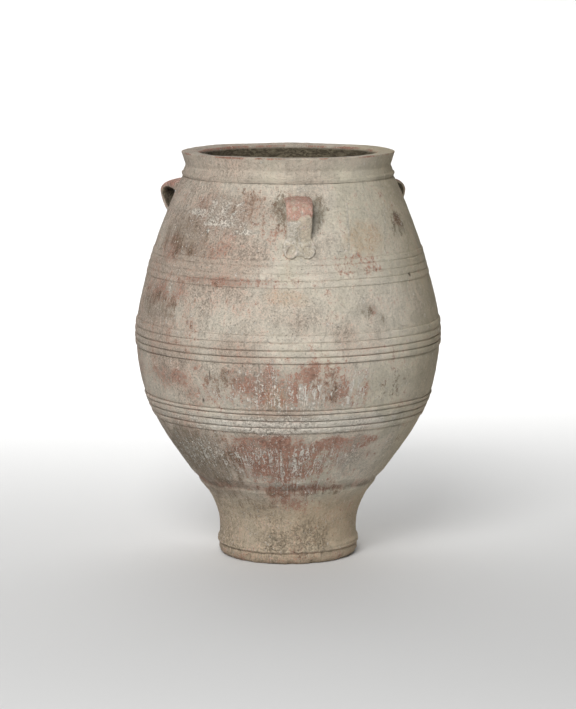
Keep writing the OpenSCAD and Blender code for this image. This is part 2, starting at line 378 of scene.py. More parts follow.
def runs(bearing, height):
    """Narrow pale runs of wash down the wall."""
    total = np.zeros(len(bearing))
    for start, gained, top, bottom, half_turn in RUNS:
        down = np.clip((top - height) / (top - bottom), 0.0, 1.0)
        beside = turned(bearing, start + gained * down) / half_turn
        ends = smooth(bottom - 0.01, bottom + 0.01, height) * smooth(top + 0.01, top - 0.01, height)
        total = np.maximum(total, bump(beside, 1.0) * ends)
    return total


def slow_warp(points):
    """How far each point of the jar leans out and how far it is lifted, the same for every piece."""
    out = SLOW_OUT * noise(points, SLOW_SIZE, 11)
    ring = around(polar(points)[1], points[:, 2], NOISE_RADIUS / WAVER_TURNS, WAVER_HEIGHT)
    lift = WAVER * noise(ring, 1.0, 12) * smooth(0.0, LEVEL_FOOT, points[:, 2])
    return out, lift


def warped(points):
    """Points moved by the slow warp."""
    out, lift = slow_warp(points)
    radius = np.maximum(polar(points)[0], 1e-6)
    moved = points.copy()
    moved[:, 0] += out * points[:, 0] / radius
    moved[:, 1] += out * points[:, 1] / radius
    moved[:, 2] += lift
    return moved


def chips(points, bearing, height):
    """Depth of the dents and chips."""
    depth = np.zeros(len(points))
    uneven = 1.0 + 0.4 * noise(points, 0.006, 23)
    for centre, middle, radius, deep in CHIPS:
        side = np.radians(turned(bearing, centre)) * polar(points)[0]
        away = np.hypot(side, height - middle) / radius * uneven
        depth = np.maximum(depth, deep * smooth(1.0, 0.45, away))
    return depth


def clay_relief(points, bearing, height):
    """How far the hand-worked, weathered outside stands off the smooth wall."""
    relief = LUMP_OUT * noise(points, LUMP_SIZE, 21)
    relief += GRAIN_OUT * layered(points, GRAIN_SIZE, 22)
    relief += RIDGE_OUT * noise(around(bearing, height, 7.0, 1.0), RIDGE_SIZE, 24)
    relief -= PIT_DEPTH * smooth(0.62, 0.95, noise(points, PIT_SIZE, 25))
    crust = mark("crust", bearing, height, ragged_edge(bearing, height))
    relief += crust * CRUST_OUT * (np.abs(layered(points, CRUST_SIZE, 26)) - 0.15)
    foot = smooth(FOOT_WEAR_TOP, 0.0, height)
    relief += foot * FOOT_WEAR * layered(around(bearing, height, 1.0, 2.0), 0.03, 27)
    return relief - chips(points, bearing, height)


def joint_relief(points, bearing, height):
    """Beads, seams and creases that run round the wall, and how much grime and painted shade each point gets
    in a crease.
    """
    round_only = around(bearing, 0.0 * height)
    worn = 0.75 + 0.45 * noise(round_only, 0.08, 28)
    relief = sum(out * bump(height - (FOOT_TOP + up), wide) for up, wide, out in FOOT_BEADS)
    # The lower wall leans over the uneven seam, and the stem's smeared rim stands out below it
    seam_line = LEDGE + LEDGE_WAVER * noise(round_only, 0.10, 29)
    above = height - seam_line
    belly = smooth(0.004, 0.022, above) * smooth(0.060, 0.026, above)
    ledge = smooth(0.002, -0.003, above) * smooth(-0.030, -0.004, above)
    relief += LEDGE_BELLY * belly + LEDGE_OUT * worn * ledge
    # Just above the ledge the wall is sunk a little and given a band of painted shadow
    seam_shade = smooth(-0.001, 0.003, above) * smooth(0.026, 0.006, above)
    relief -= LEDGE_GROOVE * seam_shade
    crease = LEDGE_PAINTED_SHADE * worn * seam_shade
    # The collar's joint and the foot's groove get dirt and painted shade
    collar_crease = bump(height - COLLAR, COLLAR_CREASE)
    relief -= COLLAR_CREASE_DEPTH * collar_crease
    foot_crease = FOOT_SHADE_AND_DIRT * bump(height - FOOT_TOP, FOOT_CREASE)
    crease = np.maximum(crease, np.maximum(collar_crease * COLLAR_SHADE_AND_DIRT * (worn - 0.3), foot_crease))
    # Both edges of each band are sunk a little and get dirt and painted shade
    for band, span in BAND_SPANS.items():
        for edge, deep in zip(span, (LINE_DEPTH[band][0], LINE_DEPTH[band][-1])):
            near = bump(height - edge, BAND_EDGE_WIDTH) * worn
            relief -= deep * near
            crease = np.maximum(crease, LINE_SHADE_AND_DIRT * deep * near)
    return relief, crease


# ---- meshes

def add_object(name, data):
    """A new object in the scene."""
    thing = bpy.data.objects.new(name, data)
    bpy.context.scene.collection.objects.link(thing)
    return thing


def new_mesh(name, points, faces):
    """A mesh of points and faces."""
    mesh = bpy.data.meshes.new(name)
    mesh.from_pydata(np.asarray(points).tolist(), [], faces)
    mesh.update()
    return mesh


def new_piece(name, points, faces, slot, node, marks):
    """A smooth-shaded mesh object with its marks as vertex attributes, riding on the jar."""
    mesh = new_mesh(name, points, faces)
    for kind, values in marks.items():
        layer = mesh.attributes.new(kind, "FLOAT", "POINT")
        layer.data.foreach_set("value", np.asarray(values, np.float32))
    mesh.shade_smooth()
    mesh.set_sharp_from_angle(angle=math.radians(62))
    piece = add_object(name, mesh)
    mesh.materials.append(MATERIALS[slot])
    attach(piece, "root")
    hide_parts(node)
    return piece


def spaced(start, end, step):
    """Heights from start to end, about a step apart."""
    count = max(1, math.ceil(abs(end - start) / step))
    return [start + (end - start) * i / count for i in range(count + 1)]


def paint(bearing, height, side):
    """The marks of every vertex of a turned piece."""
    outside = (side > 0).astype(float)
    ragged = ragged_edge(bearing, height)
    marks = {kind: mark(kind, bearing, height, ragged) * outside for kind in MARKS}
    marks["pale"] = np.maximum(marks["pale"], 0.95 * runs(bearing, height) * outside)
    marks["inside"] = (side < 0).astype(float)
    return marks


def grid_faces(rows, columns, closed):
    """Faces between rows of points that run round, and from the last row to the first if they are closed."""
    row = np.arange(rows if closed else rows - 1)[:, None]
    column = np.arange(columns)[None, :]
    here, above = row * columns, (row + 1) % rows * columns
    beside = (column + 1) % columns
    faces = np.stack([here + column, here + beside, above + beside, above + column], axis=2)
    return faces.reshape(-1, 4).tolist()


def turn_piece(name, slot, outline, closed, relief, node=None):
    """Turns an outline of (radius, height, side, normal r, normal z) round the axis and weathers its outside.

    Side is 1 on the weathered outside, 0 on hidden faces and -1 on the inside. A closed outline makes a ring,
    and an open one runs from the axis back to the axis.
    """
    outline = np.array(outline, float)
    rows = len(outline)
    bearing = np.tile(-180.0 + 360.0 * np.arange(SEGMENTS) / SEGMENTS, rows)
    turn = np.radians(bearing)
    radius, height, side, out_r, out_z = [np.repeat(outline[:, n], SEGMENTS) for n in range(5)]
    points = np.stack([radius * np.sin(turn), -radius * np.cos(turn), height], axis=1)
    offset, crease = relief(points, bearing, height, side)
    marks = paint(bearing, height, side)
    marks["crease"] = crease
    moved = warped(points)
    moved[:, 0] += offset * out_r * np.sin(turn)
    moved[:, 1] -= offset * out_r * np.cos(turn)
    moved[:, 2] = np.maximum(moved[:, 2] + offset * out_z, 0.0)
    faces = grid_faces(rows, SEGMENTS, closed)
    if not closed:
        low_pole, high_pole = len(moved), len(moved) + 1
        last = (rows - 1) * SEGMENTS
        faces += [[low_pole, (j + 1) % SEGMENTS, j] for j in range(SEGMENTS)]
        faces += [[high_pole, last + j, last + (j + 1) % SEGMENTS] for j in range(SEGMENTS)]
        poles = [[0.0, 0.0, moved[:SEGMENTS, 2].mean()], [0.0, 0.0, moved[last:, 2].mean()]]
        moved = np.vstack([moved, poles])
        marks = {kind: np.append(values, [values[0], values[-1]]) for kind, values in marks.items()}
    return new_piece(name, moved, faces, slot, node, marks)


def wall_rows(heights, side, inset=0.0):
    """Rows of the outside wall, or of the bed that a band is pressed into."""
    heights = np.asarray(heights)
    lean = outer_wall.lean(heights)
    length = np.sqrt(1.0 + lean ** 2)
    return [
        (r - inset, z, side, 1.0 / n, -s / n)
        for r, z, s, n in zip(outer_wall(heights), heights, lean, length)
    ]


def inside_rows(low, high):
    """Rows of the inside of the wall, from the top down."""
    heights = np.array(spaced(high, low, INSIDE_ROW))
    return [(r, z, -1, -1.0, 0.0) for r, z in zip(inner_wall(heights), heights)]


def wall_relief(points, bearing, height, side):
    """Relief of a wall and how deep in a crease each point is: rough outside, gently uneven inside."""
    joints, crease = joint_relief(points, bearing, height)
    outside = clay_relief(points, bearing, height) + joints
    inside = INSIDE_OUT * layered(points, 0.05, 33)
    return np.where(side > 0, outside, np.where(side < 0, inside, 0.0)), np.where(side > 0, crease, 0.0)


def build_wall(node):
    """One thrown section of the wall, with a bed where a band covers its end."""
    low, high = span_of(node)
    ends = [FOOT_BEAD, *[z for span in BAND_SPANS.values() for z in span]]
    cuts = sorted({low, high, *[z for z in ends if low < z < high]})
    outline = []
    for start, end in zip(cuts, cuts[1:]):
        middle = (start + end) / 2
        if any(a < middle < b for a, b in BAND_SPANS.values()):
            outline += wall_rows(spaced(start, end, HIDDEN_ROW), 0, BAND_BED)
        else:
            step = FINE_ROW if end < FOOT_BEAD + 0.001 else WALL_ROW
            outline += wall_rows(spaced(start, end, step), 1)
    turn_piece(node + "_clay", "washed_clay", outline + inside_rows(low, high), True, wall_relief, node)


def build_band(band):
    """A strip of clay combed into four rounded ribs with narrow grooves between them."""
    low, high = BAND_SPANS[band]
    grooves = np.array([z for z, r in band_grooves(band)])
    crest = max(r - outer_wall(z) for z, r in node_rings(band)[0])
    outline = wall_rows(spaced(low, high, BAND_ROW), 1)
    outline += wall_rows(spaced(high, low, HIDDEN_ROW), 0, BAND_BED)

    def rib_relief(points, bearing, height, side):
        number = np.clip(np.searchsorted(grooves, height, "right") - 1, 0, len(grooves) - 2)
        share = (height - grooves[number]) / (grooves[number + 1] - grooves[number])
        arch = np.clip(1.0 - np.abs(2.0 * share - 1.0) ** RIB_POWER, 0.0, 1.0) ** (1.0 / RIB_POWER)
        ring = around(bearing, number * 0.05)
        worn = RIB_SHARE[band] + 0.22 * layered(ring, 0.09, 41)
        worn -= 0.25 * smooth(0.3, 0.8, noise(ring, 0.05, 42))
        away = np.abs(height[:, None] - grooves[None, :])
        nearest = away.min(axis=1)
        groove_shape = bump(nearest, GROOVE_WIDTH * (1.0 + 0.35 * noise(ring, 0.04, 43)))
        inner_groove = smooth(low, low + 0.004, height) * smooth(high, high - 0.004, height)
        deep = np.array(LINE_DEPTH[band])[away.argmin(axis=1)]
        deep = deep * (0.85 + 0.45 * noise(around(bearing, number * 0.07), 0.06, 44))
        relief = crest * worn * arch - deep * groove_shape * inner_groove
        relief += 0.8 * clay_relief(points, bearing, height)
        # Dirt and painted shade in the grooves, more where they are deeper
        crease = np.clip(LINE_SHADE_AND_DIRT * deep, 0.0, 1.0) * groove_shape
        return np.where(side > 0, relief, 0.0), np.where(side > 0, crease, 0.0)

    turn_piece(band + "_ribs", "band_clay", outline, True, rib_relief, band)


def with_normals(outline):
    """Adds to rows of (radius, height, side) the direction that each of them faces."""
    line = np.array([row[:2] for row in outline])
    along = np.roll(line, -1, axis=0) - np.roll(line, 1, axis=0)
    along /= np.maximum(np.linalg.norm(along, axis=1), 1e-9)[:, None]
    return [(*row, d[1], -d[0]) for row, d in zip(outline, along)]


def rounded(points, step):
    """A smooth line through a few points of an outline, sampled about a step apart."""
    points = np.array(points)
    along = np.append(0.0, np.cumsum(np.linalg.norm(np.diff(points, axis=0), axis=1)))
    r, z = [Curve(np.stack([along, points[:, n]], axis=1)) for n in (0, 1)]
    places = np.array(spaced(0.0, along[-1], step))
    return list(zip(r(places), z(places)))


def build_collar():
    """The collar: a bead at its foot, a waisted outside and a wide, worn, slightly crowned lip."""
    out, back = node_rings("rim_collar")
    lip_r = max(r for z, r in out if z > LIP - 0.01)
    mouth_r = min(r for z, r in back)
    # The bead is worn away from below, so its crest lies above the middle of the CAD one
    side_rings = [(r, z + BEAD_LIFT * bump(z - COLLAR - 0.0045, 0.003)) for z, r in out if z < LIP - 0.008]
    side_end, *corner, shelf, dip = [(lip_r - a, LIP - b) for a, b in (LIP_SIDE, *LIP_EDGE, *LIP_TOP)]
    mouth = [(mouth_r + a, LIP - b) for a, b in MOUTH_EDGE]
    throat_foot = (mouth_r, COLLAR + THROAT_FOOT)
    outside = rounded([*side_rings, side_end, corner[0]], 0.0013)
    edge = rounded(corner, 0.0006)
    lip = rounded([corner[-1], shelf, dip, *mouth], 0.0014)
    throat = rounded([mouth[-1], throat_foot], 0.003)
    lower = rounded([throat_foot, (float(inner_wall(COLLAR)), COLLAR)], 0.004)
    outline = [(r, z, 1) for r, z in outside + edge[1:] + lip[1:]]
    outline += [(r, z, -1) for r, z in throat[1:] + lower[1:]]

    def relief(points, bearing, height, side):
        radius = polar(points)[0]
        offset, crease = wall_relief(points, bearing, height, np.ones(len(side)))
        outer_edge = bump(np.hypot(radius - lip_r, height - LIP + 0.001), 0.0035)
        inner_edge = bump(np.hypot(radius - mouth_r - 0.0015, height - LIP + 0.0045), 0.0050)
        nicks = smooth(0.15, 0.75, layered(around(bearing, height), 0.025, 52))
        offset = offset - LIP_NICK * (outer_edge + inner_edge) * nicks
        offset = offset + WAIST_FILL * bump(height - COLLAR - 0.015, 0.007)
        offset = np.where(side < 0, 0.0008 * layered(points, 0.03, 53), offset)
        return offset, np.where(side > 0, crease, 0.0)

    piece = turn_piece("rim_collar_clay", "lip_clay", with_normals(outline), True, relief, "rim_collar")
    wear_lip(piece, lip_r, mouth_r)


def wear_lip(piece, lip_r, mouth_r):
    """Rubs the wash off the two edges of the lip, in broken stretches."""
    mesh = piece.data
    points = np.array([v.co for v in mesh.vertices])
    (radius, bearing), height = polar(points), points[:, 2]
    outer_edge = bump(np.hypot(radius - lip_r + 0.0004, height - LIP + 0.0014), 0.0024)
    inner_edge = bump(np.hypot(radius - mouth_r - 0.0015, height - LIP + 0.0045), 0.0045)
    broken = smooth(-0.45, 0.35, layered(around(bearing, radius, 1.0, 3.0), 0.045, 54))
    bare = np.maximum(outer_edge * broken, inner_edge * smooth(-0.7, 0.1, layered(points, 0.06, 55)))
    shaded = smooth(LIP - 0.005, LIP - 0.010, height) * (radius < mouth_r + 0.01)
    for kind, more in (("bare", 1.15 * bare), ("inside", shaded)):
        values = np.zeros(len(points), np.float32)
        mesh.attributes[kind].data.foreach_get("value", values)
        mesh.attributes[kind].data.foreach_set("value", np.maximum(values, more).astype(np.float32))


def build_slab():
    """The foot: a disc with a rounded, chipped edge, whose top is the jar's floor."""
    rings = sorted(node_rings("base_slab")[0])
    foot_r = max(r for z, r in rings)
    edge = [(r, z) for z, r in rings if z < FOOT_TOP - 0.003]
    bottom_r = foot_r - edge[1][1] - 0.0138
    ground = [(r, 0.0, 0) for r in np.linspace(0.03, bottom_r - 0.002, 8)]
    raised = [(r, z) for r, z in edge if z > 0.0005]
    side = rounded([(bottom_r, 0.0), *raised, (foot_r - 0.0002, FOOT_TOP - 0.0030)], 0.0011)
    top = [(foot_r - 0.0011, FOOT_TOP - 0.0012, 1), (foot_r - 0.0026, FOOT_TOP, 1)]
    floor_r = float(inner_wall(FOOT_TOP))
    top += [(floor_r + 0.004, FOOT_TOP, 0)] + [(r, FOOT_TOP, -1) for r in np.linspace(floor_r, 0.02, 9)]
    outline = with_normals(ground + [(r, z, 1) for r, z in side] + top)

    def relief(points, bearing, height, side):
        offset, crease = wall_relief(points, bearing, height, side)
        return np.where(height < 0.0004, 0.0, offset), crease

    turn_piece("base_slab_clay", "foot_clay", outline, False, relief, "base_slab")


# ---- handles

STRAP_WIDTH = 0.0545
STRAP_THICKNESS = 0.0098
STRAP_RISE = 0.1125
STRAP_ROOT = 0.037
UPPER_PULL, UPPER_RISE = 0.090, 0.0085
LOWER_PULL, LOWER_RISE = 0.014, 0.034
ROOT_DEPTH = 0.012
# How much wider the upper end of each strap is smeared on to the wall, on each side
ROOT_SPREAD = {"front_handle": 0.001, "right_handle": 0.005, "left_handle": 0.027}
PAD_RADIUS = 0.0152
PAD_SPREAD = 0.0168
PAD_THICKNESS = 0.0060
# The strap by height above its foot, and how it changes there: its flare, its narrowest part, its upper root
FLARE_TOP, FLARE_FOOT, FLARE_OUT, FLARE_THIN = 0.046, 0.018, 0.0075, 0.45
NARROWEST, NARROWING = 0.058, 0.07
ROOT_FOOT, ROOT_TOP, ROOT_THICK = 0.085, 0.100, 0.45
STRAP_CROWN = 0.0014
# Thumb prints: sideways from the handle's middle, height above its foot, half width, half height, tilt, depth
PRINTS = [
    (-0.0160, 0.0160, 0.0094, 0.0134, -30.0, 0.0042),
    (0.0176, 0.0156, 0.0116, 0.0118, 0.0, 0.0022),
]
PRINT_RIM = 0.0010


def strap_line(foot):
    """Middle line of a strap as (radius, height), from inside the wall over its loop and down to the pads."""
    top, root = foot + STRAP_RISE, foot + STRAP_ROOT
    p = np.array([
        [outer_wall(top) - ROOT_DEPTH, top], [outer_wall(top) + UPPER_PULL, top + UPPER_RISE],
        [outer_wall(root) + LOWER_PULL, root + LOWER_RISE], [outer_wall(root), root]])
    u = np.linspace(0.0, 1.0, 56)[:, None]
    loop = (1 - u) ** 3 * p[0] + 3 * (1 - u) ** 2 * u * p[1] + 3 * (1 - u) * u ** 2 * p[2] + u ** 3 * p[3]
    down = np.linspace(root - 0.004, foot + 0.017, 6)
    # Along the wall the strap is half sunk in it
    return np.vstack([loop, np.stack([outer_wall(down) - 0.0005, down], axis=1)])


def strap_shape(foot, root_spread):
    """The strap as rings of points, (sideways, radius, height), widening towards the pads."""
    line = strap_line(foot)
    along = np.gradient(line, axis=0)
    along /= np.linalg.norm(along, axis=1)[:, None]
    corners = np.linspace(0.0, 2.0 * math.pi, 48, endpoint=False)
    rings = []
    for (r, z), (dr, dz) in zip(line, along):
        off_wall = r - outer_wall(z)
        flare = smooth(foot + FLARE_TOP, foot + FLARE_FOOT, z) * smooth(0.0, 0.01, 0.03 - off_wall)
        narrow = 1.0 - NARROWING * bump(z - (foot + NARROWEST), 0.035)
        top_root = smooth(0.030 + root_spread, 0.0, off_wall) * smooth(foot + ROOT_FOOT, foot + ROOT_TOP, z)
        half = STRAP_WIDTH / 2 * narrow + FLARE_OUT * flare + root_spread * top_root
        thick = STRAP_THICKNESS / 2 * (1.0 - FLARE_THIN * flare + ROOT_THICK * top_root)
        across = half * np.sign(np.cos(corners)) * np.abs(np.cos(corners)) ** 0.35
        out = thick * np.sign(np.sin(corners)) * np.abs(np.sin(corners)) ** 0.62
        crown = STRAP_CROWN * (1.0 - (across / half) ** 2) * (out > 0)
        off = out * np.where(out < 0, 1.0 + 70.0 * root_spread * top_root, 1.0) + crown
        rings.append(np.stack([across, r - dz * off, z + dr * off], axis=1))
    return rings


def loft(rings):
    """Points and faces of a closed tube through rings of points, with flat ends."""
    count = len(rings[0])
    last = (len(rings) - 1) * count
    ends = [list(range(count))[::-1], list(range(last, last + count))]
    return np.vstack(rings), grid_faces(len(rings), count, False) + ends


def pad_shape(sideways, middle, pad_radius, thickness):
    """One round pad of clay, pressed flat against the wall, as rings of (sideways, radius, height)."""
    lean = float(outer_wall.lean(middle))
    length = math.sqrt(1.0 + lean * lean)
    up = np.array([lean / length, 1.0 / length])
    out = np.array([1.0 / length, -lean / length])
    centre = np.array([float(outer_wall(middle)), middle])
    angles = np.linspace(0.0, 2.0 * math.pi, 40, endpoint=False)
    rings = []
    for level in np.linspace(-0.97, 0.97, 15):
        spread = (1.0 - abs(level) ** 3.2) ** (1.0 / 3.2)
        x = sideways + pad_radius * spread * np.cos(angles)
        v = pad_radius * spread * np.sin(angles)
        line = centre + np.outer(v, up) + out * thickness * level
        rings.append(np.stack([x, line[:, 0], line[:, 1]], axis=1))
    return rings


def placed(points, bearing):
    """Turns points of (sideways, radius, height) to a bearing round the jar."""
    turn = math.radians(bearing)
    x = points[:, 1] * math.sin(turn) + points[:, 0] * math.cos(turn)
    y = -points[:, 1] * math.cos(turn) + points[:, 0] * math.sin(turn)
    return np.stack([x, y, points[:, 2]], axis=1)


def fused(parts):
    """Points, faces and normals of one softened skin round overlapping closed parts."""
    points, faces = [], []
    start = 0
    for part_points, part_faces in parts:
        points.append(part_points)
        faces += [[start + i for i in face] for face in part_faces]
        start += len(part_points)
    mesh = new_mesh("fused", np.vstack(points), faces)
    blank = add_object("fused", mesh)
    remesh = blank.modifiers.new("skin", "REMESH")
    remesh.mode = "VOXEL"
    remesh.voxel_size = HANDLE_VOXEL
    soften = blank.modifiers.new("soften", "SMOOTH")
    soften.factor = 0.5
    soften.iterations = 5
    shape = bpy.data.meshes.new_from_object(blank.evaluated_get(bpy.context.evaluated_depsgraph_get()))
    skin = np.array([v.co for v in shape.vertices]), [list(f.vertices) for f in shape.polygons]
    normals = np.array([v.normal for v in shape.vertices])
    bpy.data.objects.remove(blank)
    bpy.data.meshes.remove(mesh)
    bpy.data.meshes.remove(shape)
    return (*skin, normals)


def thumb_relief(x, h):
    """Relief of the two thumb prints, the painted shadow on each print's upper left wall, and how far up a
    print's rim each point is.
    """
    relief, print_shadow, rim = np.zeros(len(x)), np.zeros(len(x)), np.zeros(len(x))
    for across, up, half_x, half_h, tilt, depth in PRINTS:
        turn = math.radians(tilt)
        dx, dh = x - across, h - up
        u = dx * math.cos(turn) + dh * math.sin(turn)
        v = -dx * math.sin(turn) + dh * math.cos(turn)
        away = np.hypot(u / half_x, v / half_h)
        # A thumb pushes the clay down and to the right, so the rim stands up there
        pushed = np.clip(0.5 + (dx - dh) / 0.030, 0.0, 1.0)
        relief -= depth * smooth(1.05, 0.30, away)
        lip = bump(away - 1.12, 0.16) * pushed
        relief += PRINT_RIM * lip
        # Painted shadow inside each print, on its upper left wall
        print_shadow = np.maximum(print_shadow, bump(away - 0.88, 0.14) * (1.0 - pushed) ** 1.5)
        rim = np.maximum(rim, lip)
    return relief, print_shadow, rim


def build_handle(node, variant):
    """A strap handle: a pulled strap whose lower end is pressed on to the wall with two thumbs."""
    low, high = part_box(node)
    foot = low.z
    middle = (low + high) / 2
    bearing = math.degrees(math.atan2(middle.x, -middle.y))
    shapes = [strap_shape(foot, ROOT_SPREAD[node]), pad_shape(0.0, foot + 0.0155, 0.012, 0.0050)]
    for side in (-1, 1):
        shapes.append(pad_shape(side * PAD_SPREAD, foot + PAD_RADIUS, PAD_RADIUS, PAD_THICKNESS))
    skin, faces, normals = fused([loft(shape) for shape in shapes])
    x, r, z = skin.T
    h = z - foot
    facing = 0.8 * normals[:, 1] + 0.6 * normals[:, 2]
    faces_out = smooth(0.10, 0.45, facing)
    off_wall = r - outer_wall(z)
    near_pads = smooth(0.034, 0.028, h)
    prints, print_shadow, rim = thumb_relief(x, h)
    relief = prints * near_pads * faces_out
    strap = smooth(0.030, 0.045, h)
    relief += 0.0007 * bump(x - 0.0005, 0.0022) * strap * smooth(0.060, 0.075, h)
    furrow = bump(x + 0.0025 + 0.001 * np.sin(h * 260.0), 0.0018)
    furrow *= smooth(0.020, 0.028, h) * smooth(0.062, 0.048, h)
    relief -= 0.0016 * furrow * faces_out
    local = skin + np.array([0.0, 0.0, 0.4 * variant])
    relief += 0.0006 * noise(local, 0.020, 61) + 0.00035 * layered(local, 0.007, 62)
    relief -= (0.0011 - 0.0007 * near_pads) * smooth(0.55, 0.85, noise(local, 0.008, 63))
    shaped = skin + normals * relief[:, None]
    points = warped(placed(shaped, bearing))
    foot_line = smooth(0.0022, 0.0002, off_wall)
    ragged = 0.012 * layered(local, 0.014, 64)
    upper = smooth(0.077, 0.087, h + ragged - 0.010 * smooth(-0.006, 0.006, x))
    darker_half = smooth(-0.010, 0.004, x + 0.4 * ragged) * smooth(0.030, 0.040, h)
    under = smooth(-0.05, -0.45, facing) * strap
    # The lower strap gets lime wash and painted light, less on its right half and near the pads
    lime_and_light = 1.15 - 0.60 * darker_half - 0.40 * near_pads
    marks = {kind: np.zeros(len(x)) for kind in MARKS}
    # Rain and hands rub the upper outside of the strap down to the red clay
    marks["bare"] = 0.80 * upper * faces_out + 0.16 * faces_out
    marks["drip"] = 0.15 * strap
    marks["stain_and_shade"] = 0.08 * darker_half * (1.0 - upper) + 0.5 * (variant == 1) * strap
    # Pale on the lower strap is lime wash and painted light, and on the prints' rims a painted highlight
    marks["pale"] = lime_and_light * (1.0 - upper) * faces_out + 0.50 * rim * near_pads
    # Painted shade and dirt under the strap, in the inside's dark brown
    marks["inside"] = 0.92 * under
    # Dirt and painted shade in the prints, along the strap's foot on the wall and in its furrow
    crease_shade_and_dirt = 0.9 * print_shadow * near_pads * faces_out + 0.28 * foot_line + 0.3 * furrow
    marks["crease"] = np.clip(crease_shade_and_dirt, 0.0, 1.0)
    new_piece(node + "_clay", points, faces, "handle_clay", node, marks)


# ---- materials

def srgb(red, green, blue):
    """Linear colour of an sRGB colour given from 0 to 255."""
    channels = np.array([red, green, blue]) / 255.0
    linear = np.where(channels <= 0.04045, channels / 12.92, ((channels + 0.055) / 1.055) ** 2.4)
    return (*linear.tolist(), 1.0)


WASH = srgb(211, 202, 186)
WASH_WARM = srgb(190, 174, 158)
LIP_WASH = srgb(194, 183, 167)
BAND_WASH = srgb(218, 209, 193)
HANDLE_WASH = srgb(228, 215, 192)
FOOT_WASH = srgb(194, 174, 154)
STEM_TAN = srgb(184, 167, 142)
WASH_OLIVE = srgb(204, 196, 177)
BARE = srgb(172, 126, 108)
BARE_DEEP = srgb(134, 94, 77)
RUBBED = srgb(200, 160, 146)
RUBBED_DEEP = srgb(172, 128, 113)
PALE = srgb(222, 216, 204)
LIME = srgb(222, 218, 208)
STAIN_AND_SHADE_COLOUR = srgb(108, 98, 80)
OCHRE = srgb(188, 156, 122)
FAR_RIGHT_SHADE = srgb(176, 160, 130)
CREASE = srgb(108, 91, 77)
CREASE_RED = srgb(150, 104, 88)
INSIDE_PALE = srgb(124, 115, 95)
INSIDE_DARK = srgb(78, 70, 57)
PIT = srgb(84, 73, 62)
FLOOR_GREY = (0.70, 0.70, 0.695, 1.0)

CHALK_ROUGH, CLAY_SHEEN, GRAIN_DEPTH = 0.9, 0.22, 0.0020
# How much the drips wander sideways, and how slowly the noise they are made of changes up the wall
RUN_WOBBLE, RUN_RISE = 0.020, 0.07


class Graph:
    """Short ways to add the shader nodes of one material."""

    def __init__(self, name):
        self.material = bpy.data.materials.new(name)
        self.material.use_nodes = True
        self.tree = self.material.node_tree
        self.shader = self.tree.nodes["Principled BSDF"]

    def add(self, kind, inputs, **settings):
        node = self.tree.nodes.new(kind)
        for name, value in settings.items():
            setattr(node, name, value)
        for key, value in inputs.items():
            if isinstance(value, bpy.types.NodeSocket):
                self.tree.links.new(value, node.inputs[key])
            else:
                node.inputs[key].default_value = value
        return node

    def math(self, operation, a, b=0.0, c=0.0):
        return self.add("ShaderNodeMath", {0: a, 1: b, 2: c}, operation=operation).outputs[0]

    def attribute(self, name):
        return self.add("ShaderNodeAttribute", {}, attribute_name=name).outputs["Fac"]

    def noise(self, vector, scale, detail=5.0, roughness=0.6, distortion=0.0):
        inputs = dict(Vector=vector, Scale=scale, Detail=detail, Roughness=roughness, Distortion=distortion)
        return self.add("ShaderNodeTexNoise", inputs).outputs["Fac"]

    def step(self, value, low, high, start=0.0, end=1.0):
        inputs = {"Value": value, "From Min": low, "From Max": high, "To Min": start, "To Max": end}
        return self.add("ShaderNodeMapRange", inputs, interpolation_type="SMOOTHSTEP").outputs["Result"]

    def mix(self, share, a, b, blend="MIX"):
        inputs = {0: share, 6: a, 7: b}
        return self.add("ShaderNodeMix", inputs, data_type="RGBA", blend_type=blend).outputs[2]

    def cover(self, colour, over, mask, strength):
        """Lays another colour over a colour, where the mask is."""
        return self.mix(self.math("MULTIPLY", mask, strength), colour, over)

    def centred(self, value):
        """Noise moved so that it swings about zero."""
        return self.math("SUBTRACT", value, 0.5)

    def total(self, *terms):
        """The sum of values, each times its weight."""
        result = 0.0
        for value, weight in terms:
            result = self.math("MULTIPLY_ADD", value, weight, result)
        return result

    def shade(self, colour, share, dark, light, strength):
        """Darkens and lightens a colour as the share goes from 0 to 1."""
        tone = self.mix(share, (dark, dark, dark, 1.0), (light, light, light, 1.0))
        return self.mix(strength, colour, tone, "MULTIPLY")

    def parts(self, vector):
        """The X, Y and Z of a vector."""
        outputs = self.add("ShaderNodeSeparateXYZ", {"Vector": vector}).outputs
        return outputs["X"], outputs["Y"], outputs["Z"]

    def vector(self, x, y, z):
        return self.add("ShaderNodeCombineXYZ", {"X": x, "Y": y, "Z": z}).outputs[0]


def streak_places(g, place):
    """Coordinates for noise that runs down the wall, and how far right each of them is."""
    x, y, z = g.parts(place)
    unit = g.add("ShaderNodeVectorMath", {0: g.vector(x, y, 0.0)}, operation="NORMALIZE").outputs[0]
    ring = g.add("ShaderNodeVectorMath", {0: unit, "Scale": NOISE_RADIUS}, operation="SCALE").outputs[0]
    right, back, _ = g.parts(ring)
    wobble = g.math("MULTIPLY", g.centred(g.noise(place, 75.0, 3.0, 0.6)), RUN_WOBBLE)
    beside = [g.math("ADD", part, wobble) for part in (right, back)]
    return g.vector(*beside, g.math("MULTIPLY", z, RUN_RISE)), right


